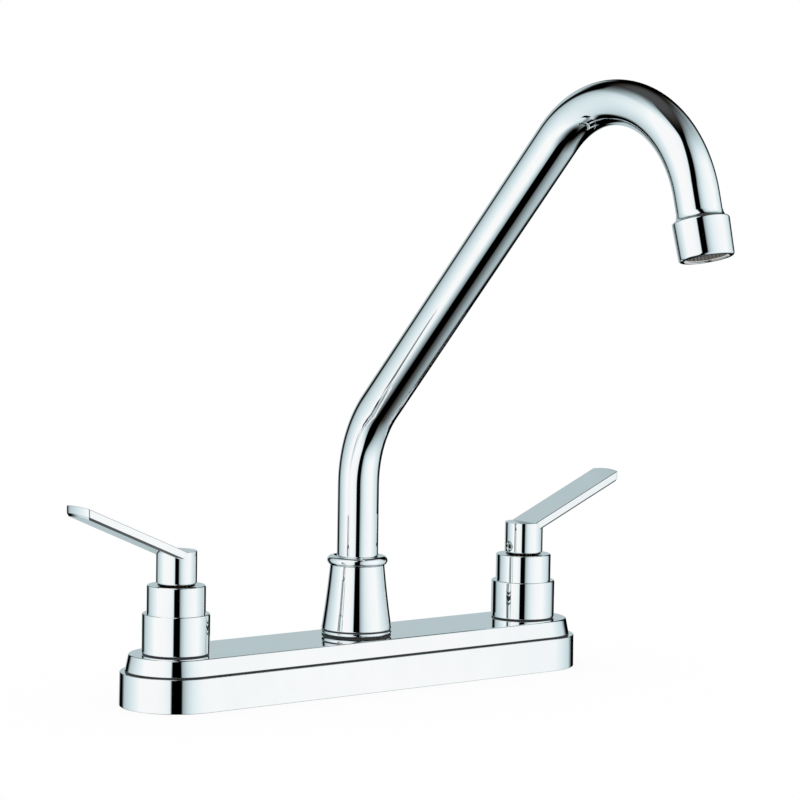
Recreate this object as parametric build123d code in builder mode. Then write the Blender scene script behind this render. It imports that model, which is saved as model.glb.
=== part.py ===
from build123d import *
from math import cos, radians, sin, tan
import os

# Two handle kitchen faucet with a high gooseneck spout on an eight inch deck plate.
# Millimetres. +Z is up, -Y is the front, X runs along the deck plate. The origin is on the
# sink deck under the spout axis. The hot side is at -X and the cold side is at +X.

os.makedirs("parts", exist_ok=True)

# ---- clearances ------------------------------------------------------------
thread_clear = 0.05    # radial, between two screwed or brazed walls
turn_clear = 0.05      # radial, between a turning shaft and its bore
slide_gap = 0.05       # between two flat faces that turn on each other
loose_gap = 0.3        # round pieces that pass through a clearance hole

# ---- deck plate ------------------------------------------------------------
inlet_spacing = 203.2          # valve to valve, 8 in
plate_width = 50.0
body_height = 15.2             # lower tier
body_draft = 0.6               # degrees
ledge_radius = 1.2
tier_foot_width = 45.2         # upper tier, where it stands on the ledge
tier_top_width = 42.0
tier_height = 7.9
tier_radius = 0.8
plate_wall = 2.0

# ---- gasket, inlets and mounting hardware ----------------------------------
gasket_thickness = 3.0
shank_diameter = 24.0          # mounting thread that the locknut runs on
inlet_diameter = 20.95         # half inch straight pipe thread on the free end
inlet_length = 26.0
inlet_chamfer = 1.0
shank_bore = 10.4
shank_drop = 52.0              # below the deck
shank_socket = 5.0             # shank length inside the waterway
deck_gap = 8.0                 # thickest deck that the locknut is drawn up to
washer_diameter = 44.0
washer_thickness = 2.0
locknut_diameter = 34.0        # collar of the locknut
locknut_height = 13.0
locknut_flange = 4.0
locknut_flange_diameter = 42.0
locknut_span = 46.0            # across the wings
wing_thickness = 5.0

# ---- waterway --------------------------------------------------------------
bar_width = 18.0
bar_height = 16.0
bar_fillet = 3.0
tower_diameter = 28.0
neck_diameter = 22.0           # threaded tower above the deck plate
neck_height = 15.0             # above the underside of the plate's top
spud_wall = 3.55               # threaded centre post, outside the nipple
spud_height = 25.0
channel_bore = 6.4
channel_rise = 11.0            # channel axis above the gasket
channel_overrun = 2.0          # channel end past the wall of the valve bore
sump_depth = 1.0               # post bore below the channel
valve_floor_rise = 7.0         # valve seat above the gasket
valve_bore = 18.0

# ---- ceramic valve ---------------------------------------------------------
seal_thickness = 2.0
seal_diameter = 14.4
disc_thickness = 3.0
disc_diameter = 13.6
disc_port = 3.6
disc_port_offset = 3.3
cartridge_waist = 15.8         # leaves a ring of water around the windows
cartridge_waist_height = 12.0
cartridge_flange = 21.2
cartridge_flange_height = 2.5
cartridge_neck = 14.0
cartridge_neck_height = 7.5
window_width = 7.0
stem_diameter = 9.0
stem_foot_diameter = 13.2
stem_foot_height = 3.0
broach_diameter = 8.0
broach_groove = 0.9
broach_count = 12
stem_ring_section = 1.1
stem_ring_rise = 12.0          # O-ring above the stem foot

# ---- handles ---------------------------------------------------------------
collar_diameter = 30.3         # lower ring of the stepped collar
collar_height = 18.1
collar_step_diameter = 26.3
collar_step_height = 12.6
collar_edge = 0.6
collar_web = 5.5               # thickness of the closed top
collar_mouth = 16.8
hub_diameter = 18.2
hub_gap = 0.6
hub_height = 14.7
hub_edge = 0.3
lever_width = 17.8
lever_thickness = 3.8
lever_slope = 23.2             # degrees above level
lever_length = 52.3            # valve axis to the tip's corners
lever_tip_bulge = 1.5
lever_edge = 0.5
broach_depth = 9.6             # blind bore in the hub
screw_diameter = 4.0
screw_length = 4.7
screw_rise = 3.3               # above the hub's foot
screw_hex = 2.0                # across the flats of the socket
screw_hex_depth = 2.0
screw_sink = 0.35

# ---- spout base ------------------------------------------------------------
flange_rim = 0.2               # thin ring under the cone, wider than its foot
flange_height = 2.2
cone_groove_depth = 0.9
cone_groove_height = 0.8
cone_neck_wall = 3.025         # top of the cone, outside the tube
cone_mid_flare = 1.6           # half way up, wider than the top, radial
cone_foot_flare = 3.65         # foot, wider than the top, radial
cone_height = 32.6             # top of the taper above the deck plate
bead_section = 4.2             # rounded ring on top of the cone
bead_stand = 1.45              # bead, wider than the top of the cone, radial
washer_ring = 1.0              # plastic washer on the spud
spout_flange_rim = 0.975       # nipple flange, wider than the tube, radial
spout_flange_height = 1.5
bushing_height = 1.4

# ---- spout -----------------------------------------------------------------
tube_diameter = 19.05          # three quarter inch tube
tube_wall = 1.0
bend_height = 114.6            # corner of the lower bend above the deck
lean_angle = 44.0              # degrees from vertical
lower_bend_radius = 54.0
rise_length = 171.3            # straight run between the two bends
arch_radius = 50.4
outlet_tilt = 15.0             # degrees outward from straight down
outlet_run = 10.2              # straight tube before the aerator
nipple_drop = 24.0             # nipple below the top of the spud
nipple_step = 1.575            # nipple, narrower than the tube, radial
nipple_wall = 3.15
nipple_insert = 11.0           # nipple length inside the tube
ring_section = 1.8
ring_pitch = 9.0

# ---- aerator ---------------------------------------------------------------
shoulder_height = 2.8
shoulder_flare = 2.175         # wide end of the shoulder, outside the tube
adapter_socket = 4.0           # tube length inside the adapter
adapter_wall = 1.275           # thread of the adapter, outside the tube
adapter_thread_length = 8.0
adapter_seat = 1.125           # ledge that the tube's end rests on
housing_wall = 1.1             # outside the adapter's thread
housing_taper = 0.4
housing_height = 16.3
housing_edge = 0.5
housing_lip = 0.8
housing_lip_width = 0.8
aerator_washer_thickness = 1.5
aerator_washer_width = 2.3
insert_step = 0.7              # insert, narrower than the thread, radial
insert_wall = 1.6
insert_plate = 1.8
insert_hole = 1.5
insert_hole_inset = 1.75       # outer ring of holes, inside the insert's wall
insert_hole_pitch = 2.7        # between the two rings of holes
outer_hole_count = 14
inner_hole_count = 8
screen_thickness = 0.6
screen_hole = 1.3
screen_pitch = 2.1
screen_rows = 7

# ---- derived positions -----------------------------------------------------
nipple_diameter = tube_diameter - 2 * nipple_step
nipple_bore = nipple_diameter - 2 * nipple_wall
spud_diameter = nipple_diameter + 2 * spud_wall
side_x = inlet_spacing / 2
plate_height = body_height + tier_height
ceiling = plate_height - plate_wall
shank_top = gasket_thickness + shank_socket
valve_floor = gasket_thickness + valve_floor_rise
channel_height = gasket_thickness + channel_rise
neck_top = ceiling + neck_height
spud_top = ceiling + spud_height
tier_draft = 90 - Vector(tier_height, (tier_foot_width - tier_top_width) / 2).get_angle(Vector(0, 1))

seal_top = valve_floor + seal_thickness
fixed_disc_top = seal_top + disc_thickness
turning_disc_foot = fixed_disc_top + slide_gap
turning_disc_top = turning_disc_foot + disc_thickness
stem_foot_top = turning_disc_top + stem_foot_height
cartridge_ceiling = stem_foot_top + slide_gap
cartridge_waist_top = seal_top + cartridge_waist_height
cartridge_flange_top = neck_top + cartridge_flange_height
cartridge_top = cartridge_flange_top + cartridge_neck_height
stem_ring_height = stem_foot_top + stem_ring_rise
broach_foot = cartridge_top + slide_gap

collar_step = plate_height + collar_height
collar_top = collar_step + collar_step_height
hub_foot = collar_top + hub_gap
hub_top = hub_foot + hub_height
broach_top = hub_foot + broach_depth
screw_height = hub_foot + screw_rise
lever_drop = lever_thickness / cos(radians(lever_slope))
bulge_climb = (lever_length + lever_tip_bulge) * tan(radians(lever_slope))

cone_top_diameter = tube_diameter + 2 * cone_neck_wall
cone_mid_diameter = cone_top_diameter + 2 * cone_mid_flare
cone_foot_diameter = cone_top_diameter + 2 * cone_foot_flare
cone_groove_diameter = cone_foot_diameter - 2 * cone_groove_depth
flange_diameter = cone_foot_diameter + 2 * flange_rim
bead_diameter = cone_top_diameter + 2 * bead_stand
spout_flange_diameter = tube_diameter + 2 * spout_flange_rim
cone_foot = plate_height + flange_height
cone_wide = cone_foot + cone_groove_height
cone_top = plate_height + cone_height
bead_top = cone_top + bead_section
thrust_top = spud_top + washer_ring
spout_flange_foot = thrust_top + slide_gap
tube_foot = spout_flange_foot + spout_flange_height
cone_shoulder = tube_foot + slide_gap + bushing_height
nipple_foot = spud_top - nipple_drop
nipple_top = tube_foot + nipple_insert
spud_floor = channel_height - channel_bore / 2 - sump_depth
ring_heights = [spud_top - ring_pitch, spud_top - 2 * ring_pitch]
bend_tangent = lower_bend_radius * tan(radians(lean_angle / 2))
arch_turn = 180 - lean_angle - outlet_tilt

shoulder_diameter = tube_diameter + 2 * shoulder_flare
adapter_thread = tube_diameter + 2 * adapter_wall
adapter_bore = tube_diameter - 2 * adapter_seat
housing_diameter = adapter_thread + 2 * housing_wall
housing_foot_diameter = housing_diameter - 2 * housing_taper
insert_diameter = adapter_thread - 2 * insert_step
housing_mouth = insert_diameter - 2 * housing_lip_width
aerator_washer_bore = insert_diameter - 2 * aerator_washer_width
outer_hole_ring = insert_diameter / 2 - insert_wall - insert_hole_inset
inner_hole_ring = outer_hole_ring - insert_hole_pitch
insert_top = adapter_thread_length + aerator_washer_thickness
housing_seat = housing_height - housing_lip

side_plane = Plane((side_x, 0, 0), x_dir=(1, 0, 0), z_dir=(0, -1, 0))
side_axis = Axis((side_x, 0, 0), (0, 0, 1))
both_sides = [(-side_x, 0), (side_x, 0)]

# ---- deck plate: a two tier hollow cover -----------------------------------
with BuildPart() as deck_plate:
    with BuildSketch():
        SlotCenterToCenter(inlet_spacing, plate_width)
    extrude(amount=body_height, taper=body_draft)
    fillet(deck_plate.faces().sort_by(Axis.Z)[-1].edges(), ledge_radius)
    with BuildSketch(Plane.XY.offset(body_height)):
        SlotCenterToCenter(inlet_spacing, tier_foot_width)
    extrude(amount=tier_height, taper=tier_draft)
    fillet(deck_plate.faces().sort_by(Axis.Z)[-1].edges(), tier_radius)
    with BuildSketch():
        SlotCenterToCenter(inlet_spacing, plate_width - 2 * plate_wall)
    extrude(amount=body_height - plate_wall, mode=Mode.SUBTRACT)
    with BuildSketch():
        SlotCenterToCenter(inlet_spacing, tier_top_width - 2 * plate_wall)
    extrude(amount=ceiling, mode=Mode.SUBTRACT)
    with BuildSketch():
        with Locations(*both_sides):
            Circle(neck_diameter / 2 + loose_gap)
        Circle(spud_diameter / 2 + loose_gap)
    extrude(amount=plate_height, mode=Mode.SUBTRACT)

# ---- gasket under the plate ------------------------------------------------
with BuildPart() as deck_gasket:
    with BuildSketch():
        SlotCenterToCenter(inlet_spacing, plate_width - 2 * plate_wall - 2 * loose_gap)
        with Locations(*both_sides):
            Circle(shank_diameter / 2 + loose_gap, mode=Mode.SUBTRACT)
    extrude(amount=gasket_thickness)

# ---- waterway: crossbar, two valve towers and the spout post ----------------
with BuildPart() as waterway:
    with BuildSketch(Plane.XY.offset(gasket_thickness)):
        SlotCenterToCenter(inlet_spacing, bar_width)
    extrude(amount=bar_height)
    fillet(waterway.faces().sort_by(Axis.Z)[-1].edges(), bar_fillet)
    with BuildSketch(Plane.XY.offset(gasket_thickness)):
        with Locations(*both_sides, (0, 0)):
            Circle(tower_diameter / 2)
    extrude(amount=ceiling - gasket_thickness)
    with BuildSketch(Plane.XY.offset(ceiling)):
        with Locations(*both_sides):
            Circle(neck_diameter / 2)
    extrude(amount=neck_height)
    with BuildSketch(Plane.XY.offset(ceiling)):
        Circle(spud_diameter / 2)
    extrude(amount=spud_height)
    with BuildSketch(Plane.XY.offset(gasket_thickness)):
        with Locations(*both_sides):
            Circle(shank_diameter / 2 + thread_clear)
    extrude(amount=shank_socket, mode=Mode.SUBTRACT)
    with BuildSketch(Plane.XY.offset(shank_top)):
        with Locations(*both_sides):
            Circle(shank_bore / 2)
    extrude(amount=valve_floor - shank_top, mode=Mode.SUBTRACT)
    with BuildSketch(Plane.XY.offset(valve_floor)):
        with Locations(*both_sides):
            Circle(valve_bore / 2)
    extrude(amount=neck_top - valve_floor, mode=Mode.SUBTRACT)
    with BuildSketch(Plane.XY.offset(spud_floor)):
        Circle(nipple_diameter / 2 + turn_clear)
    extrude(amount=spud_top - spud_floor, mode=Mode.SUBTRACT)
    with BuildSketch(Plane.YZ):
        with Locations((0, channel_height)):
            Circle(channel_bore / 2)
    extrude(amount=side_x - valve_bore / 2 + channel_overrun, both=True, mode=Mode.SUBTRACT)

# ---- inlet shanks ----------------------------------------------------------
with BuildPart() as shank_right:
    with BuildSketch(Plane.XY.offset(-shank_drop)):
        with Locations((side_x, 0)):
            Circle(inlet_diameter / 2)
            Circle(shank_bore / 2, mode=Mode.SUBTRACT)
    extrude(amount=inlet_length)
    chamfer(shank_right.faces().sort_by(Axis.Z)[0].outer_wire().edges(), inlet_chamfer)
    with BuildSketch(Plane.XY.offset(inlet_length - shank_drop)):
        with Locations((side_x, 0)):
            Circle(shank_diameter / 2)
            Circle(shank_bore / 2, mode=Mode.SUBTRACT)
    extrude(amount=shank_drop - inlet_length + shank_top)

with BuildPart() as shank_left:
    mirror(shank_right.part, about=Plane.YZ)

# ---- mounting washers and locknuts under the deck --------------------------
with BuildPart() as washer_right:
    with BuildSketch(Plane.XY.offset(-deck_gap - washer_thickness)):
        with Locations((side_x, 0)):
            Circle(washer_diameter / 2)
            Circle(shank_diameter / 2 + loose_gap, mode=Mode.SUBTRACT)
    extrude(amount=washer_thickness)

with BuildPart() as washer_left:
    mirror(washer_right.part, about=Plane.YZ)

locknut_top = -deck_gap - washer_thickness
with BuildPart() as locknut_right:
    with BuildSketch(Plane.XY.offset(locknut_top - locknut_flange)):
        with Locations((side_x, 0)):
            Circle(locknut_flange_diameter / 2)
    extrude(amount=locknut_flange)
    with BuildSketch(Plane.XY.offset(locknut_top - locknut_height)):
        with Locations((side_x, 0)):
            Circle(locknut_diameter / 2)
            Rectangle(locknut_span, wing_thickness)
            Rectangle(wing_thickness, locknut_span)
    extrude(amount=locknut_height - locknut_flange)
    with BuildSketch(Plane.XY.offset(locknut_top)):
        with Locations((side_x, 0)):
            Circle(shank_diameter / 2 + thread_clear)
    extrude(amount=-locknut_height, mode=Mode.SUBTRACT)

with BuildPart() as locknut_left:
    mirror(locknut_right.part, about=Plane.YZ)

# ---- ceramic valve, right side ---------------------------------------------
with BuildPart() as seat_seal_right:
    with BuildSketch(Plane.XY.offset(valve_floor)):
        with Locations((side_x, 0)):
            Circle(seal_diameter / 2)
            Circle(shank_bore / 2, mode=Mode.SUBTRACT)
    extrude(amount=seal_thickness)

with BuildPart() as fixed_disc_right:
    with BuildSketch(Plane.XY.offset(seal_top)):
        with Locations((side_x, 0)):
            Circle(disc_diameter / 2)
        with Locations((side_x - disc_port_offset, 0), (side_x + disc_port_offset, 0)):
            Circle(disc_port / 2, mode=Mode.SUBTRACT)
    extrude(amount=disc_thickness)

with BuildPart() as turning_disc_right:
    with BuildSketch(Plane.XY.offset(turning_disc_foot)):
        with Locations((side_x, 0)):
            Circle(disc_diameter / 2)
        with Locations((side_x, -disc_port_offset), (side_x, disc_port_offset)):
            Circle(disc_port / 2, mode=Mode.SUBTRACT)
    extrude(amount=disc_thickness)

with BuildPart() as cartridge_right:
    with BuildSketch(side_plane):
        with BuildLine():
            Polyline(
                (disc_diameter / 2 + turn_clear, seal_top),
                (cartridge_waist / 2, seal_top),
                (cartridge_waist / 2, cartridge_waist_top),
                (valve_bore / 2 - thread_clear, cartridge_waist_top),
                (valve_bore / 2 - thread_clear, neck_top),
                (cartridge_flange / 2, neck_top),
                (cartridge_flange / 2, cartridge_flange_top),
                (cartridge_neck / 2, cartridge_flange_top),
                (cartridge_neck / 2, cartridge_top),
                (stem_diameter / 2 + turn_clear, cartridge_top),
                (stem_diameter / 2 + turn_clear, cartridge_ceiling),
                (disc_diameter / 2 + turn_clear, cartridge_ceiling),
                close=True,
            )
        make_face()
    revolve(axis=side_axis)
    with BuildSketch(Plane.XY.offset(fixed_disc_top)):
        with Locations((side_x, 0)):
            Rectangle(valve_bore, window_width)
    extrude(amount=disc_thickness, mode=Mode.SUBTRACT)

with BuildPart() as stem_right:
    with BuildSketch(Plane.XY.offset(turning_disc_top)):
        with Locations((side_x, 0)):
            Circle(stem_foot_diameter / 2)
    extrude(amount=stem_foot_height)
    with BuildSketch(Plane.XY.offset(stem_foot_top)):
        with Locations((side_x, 0)):
            Circle(stem_diameter / 2)
    extrude(amount=broach_foot - stem_foot_top)
    with BuildSketch(Plane.XY.offset(broach_foot)):
        with Locations((side_x, 0)):
            Circle(broach_diameter / 2)
            with PolarLocations(broach_diameter / 2, broach_count):
                Rectangle(broach_groove, broach_groove, rotation=45, mode=Mode.SUBTRACT)
    extrude(amount=broach_top - broach_foot)
    with BuildSketch(Plane.XY.offset(stem_ring_height - stem_ring_section / 2 - slide_gap)):
        with Locations((side_x, 0)):
            Circle(stem_diameter / 2)
            Circle(stem_diameter / 2 - stem_ring_section - slide_gap, mode=Mode.SUBTRACT)
    extrude(amount=stem_ring_section + 2 * slide_gap, mode=Mode.SUBTRACT)

with BuildPart() as stem_ring_right:
    with BuildSketch(side_plane):
        with Locations(((stem_diameter - stem_ring_section) / 2, stem_ring_height)):
            Circle(stem_ring_section / 2)
    revolve(axis=side_axis)

with BuildPart() as seat_seal_left:
    mirror(seat_seal_right.part, about=Plane.YZ)

with BuildPart() as fixed_disc_left:
    mirror(fixed_disc_right.part, about=Plane.YZ)

with BuildPart() as turning_disc_left:
    mirror(turning_disc_right.part, about=Plane.YZ)

with BuildPart() as cartridge_left:
    mirror(cartridge_right.part, about=Plane.YZ)

with BuildPart() as stem_left:
    mirror(stem_right.part, about=Plane.YZ)

with BuildPart() as stem_ring_left:
    mirror(stem_ring_right.part, about=Plane.YZ)

# ---- stepped collar screwed down on the tower ------------------------------
with BuildPart() as collar_right:
    with BuildSketch(Plane.XY.offset(plate_height)):
        with Locations((side_x, 0)):
            Circle(collar_diameter / 2)
    extrude(amount=collar_height)
    fillet(collar_right.faces().sort_by(Axis.Z)[-1].edges(), collar_edge)
    with BuildSketch(Plane.XY.offset(collar_step)):
        with Locations((side_x, 0)):
            Circle(collar_step_diameter / 2)
    extrude(amount=collar_step_height)
    fillet(collar_right.faces().sort_by(Axis.Z)[-1].edges(), collar_edge)
    with BuildSketch(Plane.XY.offset(plate_height)):
        with Locations((side_x, 0)):
            Circle(neck_diameter / 2 + thread_clear)
    extrude(amount=collar_top - collar_web - plate_height, mode=Mode.SUBTRACT)
    with BuildSketch(Plane.XY.offset(plate_height)):
        with Locations((side_x, 0)):
            Circle(collar_mouth / 2)
    extrude(amount=collar_top - plate_height, mode=Mode.SUBTRACT)

with BuildPart() as collar_left:
    mirror(collar_right.part, about=Plane.YZ)

# ---- handle: round hub with a flat lever rising outward --------------------
with BuildPart() as lever_bar:
    with BuildSketch(Plane.XY.offset(hub_foot)):
        with BuildLine():
            Line((side_x, lever_width / 2), (side_x + lever_length, lever_width / 2))
            ThreePointArc(
                (side_x + lever_length, lever_width / 2),
                (side_x + lever_length + lever_tip_bulge, 0),
                (side_x + lever_length, -lever_width / 2),
            )
            Line((side_x + lever_length, -lever_width / 2), (side_x, -lever_width / 2))
            Line((side_x, -lever_width / 2), (side_x, lever_width / 2))
        make_face()
    extrude(amount=hub_height + bulge_climb)
    with BuildSketch(side_plane):
        with BuildLine():
            Polyline(
                (0, hub_top),
                (lever_length + lever_tip_bulge, hub_top + bulge_climb),
                (lever_length + lever_tip_bulge, hub_top + bulge_climb - lever_drop),
                (0, hub_top - lever_drop),
                close=True,
            )
        make_face()
    extrude(amount=lever_width, both=True, mode=Mode.INTERSECT)
    fillet(lever_bar.edges().filter_by(lambda edge: edge.center().X > side_x + 1), lever_edge)

with BuildPart() as handle_right:
    with BuildSketch(Plane.XY.offset(hub_foot)):
        with Locations((side_x, 0)):
            Circle(hub_diameter / 2)
    extrude(amount=hub_height)
    chamfer(handle_right.faces().sort_by(Axis.Z)[0].edges(), hub_edge)
    add(lever_bar.part)
    with BuildSketch(Plane.XY.offset(hub_foot)):
        with Locations((side_x, 0)):
            Circle(broach_diameter / 2 + thread_clear)
    extrude(amount=broach_depth, mode=Mode.SUBTRACT)
    with BuildSketch(Plane.YZ.offset(side_x)):
        with Locations((0, screw_height)):
            Circle(screw_diameter / 2 + thread_clear)
    extrude(amount=-hub_diameter, mode=Mode.SUBTRACT)

with BuildPart() as handle_left:
    mirror(handle_right.part, about=Plane.YZ)

screw_tip = side_x - broach_diameter / 2 - thread_clear
with BuildPart() as set_screw_right:
    with BuildSketch(Plane.YZ.offset(screw_tip)):
        with Locations((0, screw_height)):
            Circle(screw_diameter / 2)
    extrude(amount=-screw_length)
    chamfer(set_screw_right.faces().sort_by(Axis.X)[0].edges(), screw_sink)
    with BuildSketch(Plane.YZ.offset(screw_tip - screw_length)):
        with Locations((0, screw_height)):
            RegularPolygon(screw_hex / 2, 6, major_radius=False)
    extrude(amount=screw_hex_depth, mode=Mode.SUBTRACT)

with BuildPart() as set_screw_left:
    mirror(set_screw_right.part, about=Plane.YZ)

# ---- spout base: flange ring and flared cone with a bead -------------------
with BuildPart() as spout_flange:
    with BuildSketch(Plane.XY.offset(plate_height)):
        Circle(flange_diameter / 2)
        Circle(spud_diameter / 2 + loose_gap, mode=Mode.SUBTRACT)
    extrude(amount=flange_height)
    fillet(spout_flange.faces().sort_by(Axis.Z)[-1].outer_wire().edges(), collar_edge)

with BuildPart() as spout_cone:
    with BuildSketch(Plane.XZ):
        with BuildLine():
            Polyline(
                (spud_diameter / 2 + thread_clear, cone_foot),
                (cone_groove_diameter / 2, cone_foot),
                (cone_groove_diameter / 2, cone_wide),
                (cone_foot_diameter / 2, cone_wide),
            )
            ThreePointArc(
                (cone_foot_diameter / 2, cone_wide),
                (cone_mid_diameter / 2, (cone_wide + cone_top) / 2),
                (cone_top_diameter / 2, cone_top),
            )
            Polyline(
                (cone_top_diameter / 2, cone_top),
                (cone_top_diameter / 2 - collar_edge, cone_top),
                (cone_top_diameter / 2 - collar_edge, bead_top - collar_edge),
                (tube_diameter / 2 + turn_clear, bead_top - collar_edge),
                (tube_diameter / 2 + turn_clear, cone_shoulder),
                (spout_flange_diameter / 2 + loose_gap, cone_shoulder),
                (spout_flange_diameter / 2 + loose_gap, spud_top),
                (spud_diameter / 2 + thread_clear, spud_top),
                (spud_diameter / 2 + thread_clear, cone_foot),
            )
        make_face()
        with Locations(((bead_diameter - bead_section) / 2, bead_top - bead_section / 2)):
            Circle(bead_section / 2)
    revolve(axis=Axis.Z)

# ---- plastic washer and bushing that the spout turns on --------------------
with BuildPart() as thrust_washer:
    with BuildSketch(Plane.XY.offset(spud_top)):
        Circle(spout_flange_diameter / 2)
        Circle(nipple_diameter / 2 + loose_gap, mode=Mode.SUBTRACT)
    extrude(amount=washer_ring)

with BuildPart() as spout_bushing:
    with BuildSketch(Plane.XY.offset(cone_shoulder)):
        Circle(spout_flange_diameter / 2)
        Circle(tube_diameter / 2 + turn_clear, mode=Mode.SUBTRACT)
    extrude(amount=-bushing_height)

# ---- spout nipple with two O-rings -----------------------------------------
groove_radius = nipple_diameter / 2 - ring_section - slide_gap
with BuildPart() as spout_nipple:
    with BuildSketch(Plane.XY.offset(nipple_foot)):
        Circle(nipple_diameter / 2)
    extrude(amount=tube_foot - nipple_foot)
    with BuildSketch(Plane.XY.offset(spout_flange_foot)):
        Circle(spout_flange_diameter / 2)
    extrude(amount=spout_flange_height)
    with BuildSketch(Plane.XY.offset(tube_foot)):
        Circle(tube_diameter / 2 - tube_wall - thread_clear)
    extrude(amount=nipple_insert)
    with BuildSketch(Plane.XY.offset(nipple_foot)):
        Circle(nipple_bore / 2)
    extrude(amount=nipple_top - nipple_foot, mode=Mode.SUBTRACT)
    for ring_height in ring_heights:
        with BuildSketch(Plane.XY.offset(ring_height - ring_section / 2 - slide_gap)):
            Circle(nipple_diameter / 2)
            Circle(groove_radius, mode=Mode.SUBTRACT)
        extrude(amount=ring_section + 2 * slide_gap, mode=Mode.SUBTRACT)

with BuildPart() as spout_ring_upper:
    with BuildSketch(Plane.XZ):
        with Locations(((nipple_diameter - ring_section) / 2, ring_heights[0])):
            Circle(ring_section / 2)
    revolve(axis=Axis.Z)

with BuildPart() as spout_ring_lower:
    with BuildSketch(Plane.XZ):
        with Locations(((nipple_diameter - ring_section) / 2, ring_heights[1])):
            Circle(ring_section / 2)
    revolve(axis=Axis.Z)

# ---- spout tube: upright, lower bend, straight rise and high arch ----------
with BuildPart() as spout_tube:
    with BuildLine(Plane.YZ) as spout_path:
        upright = Line((0, tube_foot), (0, bend_height - bend_tangent))
        lower_bend = JernArc(upright @ 1, upright % 1, lower_bend_radius, lean_angle)
        rise = PolarLine(lower_bend @ 1, rise_length, direction=lower_bend % 1)
        arch = JernArc(rise @ 1, rise % 1, arch_radius, arch_turn)
        outlet = PolarLine(arch @ 1, outlet_run + adapter_socket, direction=arch % 1)
    with BuildSketch(Plane.XY.offset(tube_foot)):
        Circle(tube_diameter / 2)
        Circle(tube_diameter / 2 - tube_wall, mode=Mode.SUBTRACT)
    sweep()

# ---- aerator, built along the tube's outlet axis ---------------------------
outlet_direction = Vector(0, -sin(radians(outlet_tilt)), -cos(radians(outlet_tilt)))
outlet_origin = Vector(spout_path.line @ 1) - outlet_direction * adapter_socket
outlet_plane = Plane(outlet_origin, x_dir=(1, 0, 0), z_dir=outlet_direction)
outlet_section = Plane(outlet_origin, x_dir=(1, 0, 0), z_dir=Vector(1, 0, 0).cross(outlet_direction))
outlet_axis = Axis(outlet_origin, outlet_direction)

with BuildPart() as outlet_adapter:
    with BuildSketch(outlet_section):
        with BuildLine():
            Polyline(
                (tube_diameter / 2 + thread_clear, -shoulder_height),
                (tube_diameter / 2 + loose_gap, -shoulder_height),
                (shoulder_diameter / 2, 0),
                (adapter_thread / 2, 0),
                (adapter_thread / 2, adapter_thread_length),
                (adapter_bore / 2, adapter_thread_length),
                (adapter_bore / 2, adapter_socket),
                (tube_diameter / 2 + thread_clear, adapter_socket),
                close=True,
            )
        make_face()
    revolve(axis=outlet_axis)

with BuildPart() as aerator_housing:
    with BuildSketch(outlet_section):
        with BuildLine():
            Polyline(
                (adapter_thread / 2 + thread_clear, 0),
                (housing_diameter / 2, 0),
                (housing_foot_diameter / 2, housing_height - housing_edge),
                (housing_foot_diameter / 2 - housing_edge, housing_height),
                (housing_mouth / 2, housing_height),
                (housing_mouth / 2, housing_seat),
                (insert_diameter / 2 + thread_clear, housing_seat),
                (insert_diameter / 2 + thread_clear, adapter_thread_length),
                (adapter_thread / 2 + thread_clear, adapter_thread_length),
                close=True,
            )
        make_face()
    revolve(axis=outlet_axis)

with BuildPart() as aerator_washer:
    with BuildSketch(outlet_plane.offset(adapter_thread_length)):
        Circle(insert_diameter / 2)
        Circle(aerator_washer_bore / 2, mode=Mode.SUBTRACT)
    extrude(amount=aerator_washer_thickness)

with BuildPart() as aerator_insert:
    with BuildSketch(outlet_plane.offset(insert_top)):
        Circle(insert_diameter / 2)
        Circle(insert_diameter / 2 - insert_wall, mode=Mode.SUBTRACT)
    extrude(amount=housing_seat - insert_top)
    with BuildSketch(outlet_plane.offset(insert_top)):
        Circle(insert_diameter / 2 - insert_wall)
        with PolarLocations(outer_hole_ring, outer_hole_count):
            Circle(insert_hole / 2, mode=Mode.SUBTRACT)
        with PolarLocations(inner_hole_ring, inner_hole_count):
            Circle(insert_hole / 2, mode=Mode.SUBTRACT)
    extrude(amount=insert_plate)

with BuildPart() as aerator_screen:
    with BuildSketch(outlet_plane.offset(housing_seat - screen_thickness)):
        Circle(insert_diameter / 2 - insert_wall - slide_gap)
        with GridLocations(screen_pitch, screen_pitch, screen_rows, screen_rows):
            Rectangle(screen_hole, screen_hole, mode=Mode.SUBTRACT)
    extrude(amount=screen_thickness)

# ---- labels and files ------------------------------------------------------
deck_plate.part.label = "deck_plate"
export_step(deck_plate.part, "parts/deck_plate.step")
deck_gasket.part.label = "deck_gasket"
export_step(deck_gasket.part, "parts/deck_gasket.step")
waterway.part.label = "waterway"
export_step(waterway.part, "parts/waterway.step")
shank_left.part.label = "shank_left"
export_step(shank_left.part, "parts/shank_left.step")
shank_right.part.label = "shank_right"
export_step(shank_right.part, "parts/shank_right.step")
washer_left.part.label = "washer_left"
export_step(washer_left.part, "parts/washer_left.step")
washer_right.part.label = "washer_right"
export_step(washer_right.part, "parts/washer_right.step")
locknut_left.part.label = "locknut_left"
export_step(locknut_left.part, "parts/locknut_left.step")
locknut_right.part.label = "locknut_right"
export_step(locknut_right.part, "parts/locknut_right.step")
seat_seal_left.part.label = "seat_seal_left"
export_step(seat_seal_left.part, "parts/seat_seal_left.step")
seat_seal_right.part.label = "seat_seal_right"
export_step(seat_seal_right.part, "parts/seat_seal_right.step")
fixed_disc_left.part.label = "fixed_disc_left"
export_step(fixed_disc_left.part, "parts/fixed_disc_left.step")
fixed_disc_right.part.label = "fixed_disc_right"
export_step(fixed_disc_right.part, "parts/fixed_disc_right.step")
turning_disc_left.part.label = "turning_disc_left"
export_step(turning_disc_left.part, "parts/turning_disc_left.step")
turning_disc_right.part.label = "turning_disc_right"
export_step(turning_disc_right.part, "parts/turning_disc_right.step")
cartridge_left.part.label = "cartridge_left"
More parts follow.
